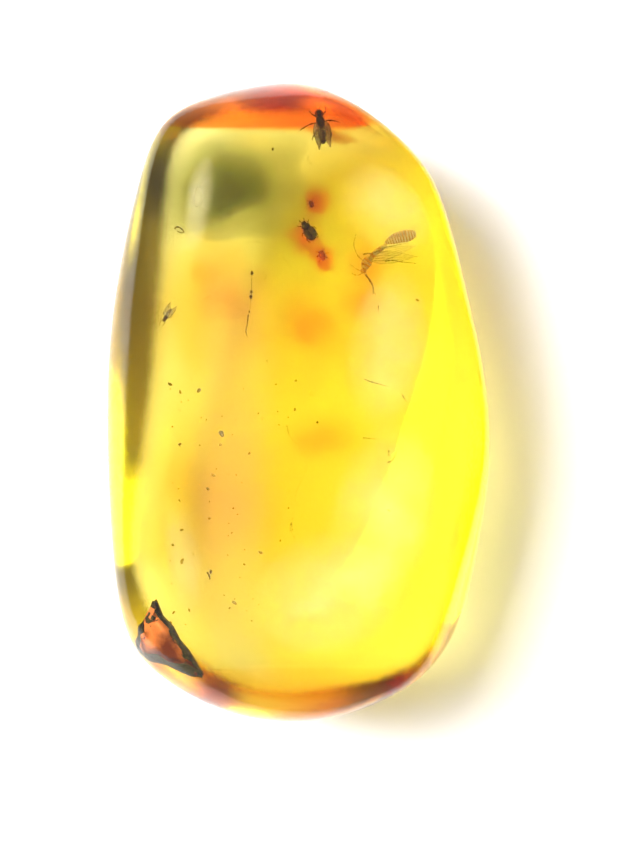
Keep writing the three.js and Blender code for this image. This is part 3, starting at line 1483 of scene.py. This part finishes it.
@dataclass(frozen=True)
class CornerFlaw:
    """The flaw under the ground corner: a reddish patch with a ragged dark rim."""

    corners: tuple[Point, ...] = ((-6.9, -9.1, 8.0), (-7.7, -11.9, 5.4), (-4.1, -12.9, 7.6))
    rounding: float = 0.35
    rim_width: float = 0.46
    ragged: float = 0.3
    bumps_per_mm: float = 3.5
    seed: int = 1
    depth: float = 0.15
    film: float = 0.03
    rim: BlotchFinish = BlotchFinish(
        "flaw_rim", (0.012, 0.012, 0.002), (0.07, 0.055, 0.012), contrast=3
    )
    heart: BlotchFinish = BlotchFinish(
        "flaw_heart", (0.13, 0.02, 0.0), (0.75, 0.22, 0.04), blotch_size=1.6, contrast=4
    )

    def build(self, stone: Stone, effects: Effects) -> None:
        """Builds and dresses the flaw.

        Args:
            stone: the stone that it lies in.
            effects: the shared shader node groups.
        """
        noise.seed_set(self.seed)
        under = stone.shape(6, self.depth)
        skin = BVHTree.FromBMesh(under)
        under.free()
        inward = Vector((0, 0, stone.belt_height)) - Vector(self.corners[0])
        for name, finish in (("corner_flaw_rim", self.rim), ("corner_flaw_heart", self.heart)):
            bm = self.outline(inner=finish is self.heart)
            bmesh.ops.triangulate(bm, faces=bm.faces[:])
            bmesh.ops.subdivide_edges(bm, edges=bm.edges[:], cuts=5, use_grid_fill=True)
            for vert in bm.verts:
                stray = noise.noise_vector(vert.co * self.bumps_per_mm) * self.ragged
                vert.co = skin.find_nearest(vert.co + stray)[0]
            grown = bmesh.ops.extrude_face_region(bm, geom=bm.faces[:])["geom"]
            sheet = [part for part in grown if isinstance(part, bmesh.types.BMVert)]
            bmesh.ops.translate(bm, verts=sheet, vec=inward.normalized() * self.film)
            finish_piece(name, bm, finish.material(effects), Slot.STAIN)

    def outline(self, inner: bool) -> bmesh.types.BMesh:
        """Draws the flaw's outline flat, as a triangle with rounded corners.

        Args:
            inner: whether the inside is wanted, and not the ring around it.

        Returns:
            The flat mesh.
        """
        bm = bmesh.new()
        verts = bmesh.ops.create_circle(bm, cap_ends=True, radius=1, segments=3)["verts"]
        for vert, corner in zip(verts, self.corners):
            vert.co = corner
        bmesh.ops.bevel(
            bm,
            geom=verts,
            offset=self.rounding,
            segments=6,
            profile=0.5,
            affect="VERTICES",
            material=-1,
        )
        whole = bm.faces[:]
        inset = bmesh.ops.inset_region(bm, faces=whole, thickness=self.rim_width, use_boundary=True)
        bmesh.ops.delete(bm, geom=inset["faces"] if inner else whole, context="FACES")
        return bm


# The studio


@dataclass(frozen=True)
class Card:
    """A flat light that looks at the stone."""

    name: str
    spot: Point
    size: tuple[float, float]
    watts: float
    turn: float = 0.0
    spread: float = 180.0
    lights: bool = True
    mirrored: bool = True
    seen_through: bool = True

    def build(self, target: Vector) -> None:
        """Hangs the light.

        Args:
            target: the point that it looks at.
        """
        light = bpy.data.lights.new(self.name, "AREA")
        light.shape = "RECTANGLE"
        light.size, light.size_y = self.size
        light.energy = self.watts
        light.spread = math.radians(self.spread)
        lamp = bpy.data.objects.new(self.name, light)
        bpy.context.scene.collection.objects.link(lamp)
        lamp.location = self.spot
        aim = (target - lamp.location).to_track_quat("-Z", "Y").to_matrix()
        lamp.rotation_euler = (aim @ Matrix.Rotation(math.radians(self.turn), 3, "Z")).to_euler()
        lamp.visible_diffuse = self.lights
        lamp.visible_glossy = self.mirrored
        lamp.visible_transmission = self.seen_through


@dataclass(frozen=True)
class Studio:
    """The floor, the sky, the lights and the camera. Its lengths are metres.

    The sky brightens beyond the stone's two ends, where the part of a heading that runs along the
    stone grows from "ends_start" to "ends_full".
    """

    floor_grey: float = 0.82
    floor_drop: float = 0.00005
    sky_low: float = 0.12
    sky_high: float = 0.5
    sky_ends: float = 0.95
    sky_side: float = 0.3
    sky_tint: Colour = (1.0, 0.88, 0.84)
    ends_start: float = 0.6
    ends_full: float = 0.95
    backdrop: float = 0.95
    target: Point = (0, 0, 0.004)
    camera_spot: Point = (0.00117, -0.00095, 0.1153)
    focal_length: float = 100
    clear_bounces: int = 24
    glossy_bounces: int = 16
    diffuse_bounces: int = 6
    cards: tuple[Card, ...] = (
        Card("key", (-0.21, 0.09, 0.32), (0.22, 0.22), 3.2, mirrored=False),
        Card("side", (-0.34, 0.13, 0.17), (0.16, 0.16), 2.9, mirrored=False),
        Card("window", (-0.27, 0.11, 0.05), (0.12, 0.10), 0.1, lights=False, mirrored=False),
        Card("streak", (0.277, 0.039, 0.108), (0.16, 0.06), 0.12, lights=False, mirrored=False),
        Card(
            "soft_patch",
            (-0.115, -0.05, 0.35),
            (0.2, 0.085),
            0.008,
            turn=-28,
            spread=60,
            lights=False,
            seen_through=False,
        ),
    )

    def build(self) -> None:
        """Builds the floor, the sky, the lights and the camera."""
        self.build_floor()
        self.build_sky()
        for card in self.cards:
            card.build(Vector(self.target))
        self.build_camera()

    def build_floor(self) -> None:
        """Lays the floor just under the stone's base."""
        bm = bmesh.new()
        bmesh.ops.create_grid(bm, x_segments=1, y_segments=1, size=2.0)
        bmesh.ops.translate(bm, verts=bm.verts, vec=(0, 0, -self.floor_drop))
        mesh = bpy.data.meshes.new("floor")
        bm.to_mesh(mesh)
        bm.free()
        paper, _, shader = start_material("floor")
        shader.inputs["Base Color"].default_value = (*[self.floor_grey] * 3, 1)
        shader.inputs["Roughness"].default_value = 0.9
        shader.inputs["Specular IOR Level"].default_value = 0.0
        mesh.materials.append(paper)
        floor = bpy.data.objects.new("floor", mesh)
        bpy.context.scene.collection.objects.link(floor)

    def build_sky(self) -> None:
        """Makes the sky: bright above, dim low down, bright again beyond the stone's two ends."""
        world = bpy.data.worlds.new("sky")
        bpy.context.scene.world = world
        world.use_nodes = True
        tree = world.node_tree
        coord = tree.nodes.new("ShaderNodeTexCoord")
        split = tree.nodes.new("ShaderNodeSeparateXYZ")
        tree.links.new(coord.outputs["Generated"], split.inputs[0])
        height = math_node(tree, "MAXIMUM", split.outputs["Z"], 0.0)
        rise = math_node(tree, "MULTIPLY_ADD", height, self.sky_high - self.sky_low, self.sky_low)
        ends = tree.nodes.new("ShaderNodeMapRange")
        ends.inputs["From Min"].default_value = self.ends_start
        ends.inputs["From Max"].default_value = self.ends_full
        ends.inputs["To Max"].default_value = self.sky_ends
        tree.links.new(math_node(tree, "ABSOLUTE", split.outputs["Y"]), ends.inputs["Value"])
        leftward = math_node(tree, "MULTIPLY", split.outputs["X"], -1.0)
        window = math_node(tree, "MAXIMUM", leftward, 0.0)
        wall = math_node(tree, "MULTIPLY_ADD", window, self.sky_side, rise)
        glow = math_node(tree, "ADD", wall, ends.outputs[0])
        rays = tree.nodes.new("ShaderNodeLightPath")
        seen = tree.nodes.new("ShaderNodeMix")
        tree.links.new(rays.outputs["Is Camera Ray"], seen.inputs["Factor"])
        tree.links.new(glow, seen.inputs["A"])
        seen.inputs["B"].default_value = self.backdrop
        background = tree.nodes["Background"]
        tree.links.new(seen.outputs["Result"], background.inputs["Strength"])
        background.inputs["Color"].default_value = (*self.sky_tint, 1)

    def build_camera(self) -> None:
        """Hangs the camera over the stone, looking straight down."""
        scene = bpy.context.scene
        lens = bpy.data.cameras.new("camera")
        lens.lens = self.focal_length
        lens.clip_start = 0.001
        camera = bpy.data.objects.new("camera", lens)
        camera.location = self.camera_spot
        scene.collection.objects.link(camera)
        scene.camera = camera
        scene.view_settings.view_transform = "Standard"
        scene.cycles.max_bounces = self.clear_bounces
        scene.cycles.transmission_bounces = self.clear_bounces
        scene.cycles.glossy_bounces = self.glossy_bounces
        scene.cycles.diffuse_bounces = self.diffuse_bounces


def main() -> None:
    """Builds the stone, what is sealed in it and the studio."""
    logging.basicConfig(level=logging.INFO)
    effects = Effects.build()
    stone = Stone()
    stone.build()
    for insect in (Fly(), Beetle(), *MITES, Gnat(), Midge()):
        insect.build(effects)
    hair = HAIR_SHELL.material(effects)
    for group in HAIRS:
        group.build(hair)
    Strays().build(effects)
    # Clouds, stains and veils; some clouds, the end fills and the veils are painted shade and
    # reflection.
    for haze in (*CLOUDS, *SHEEN_VEILS, *END_SHADES):
        haze.build(stone)
    CornerFlaw().build(stone, effects)
    Studio().build()


if __name__ == "__main__":
    main()
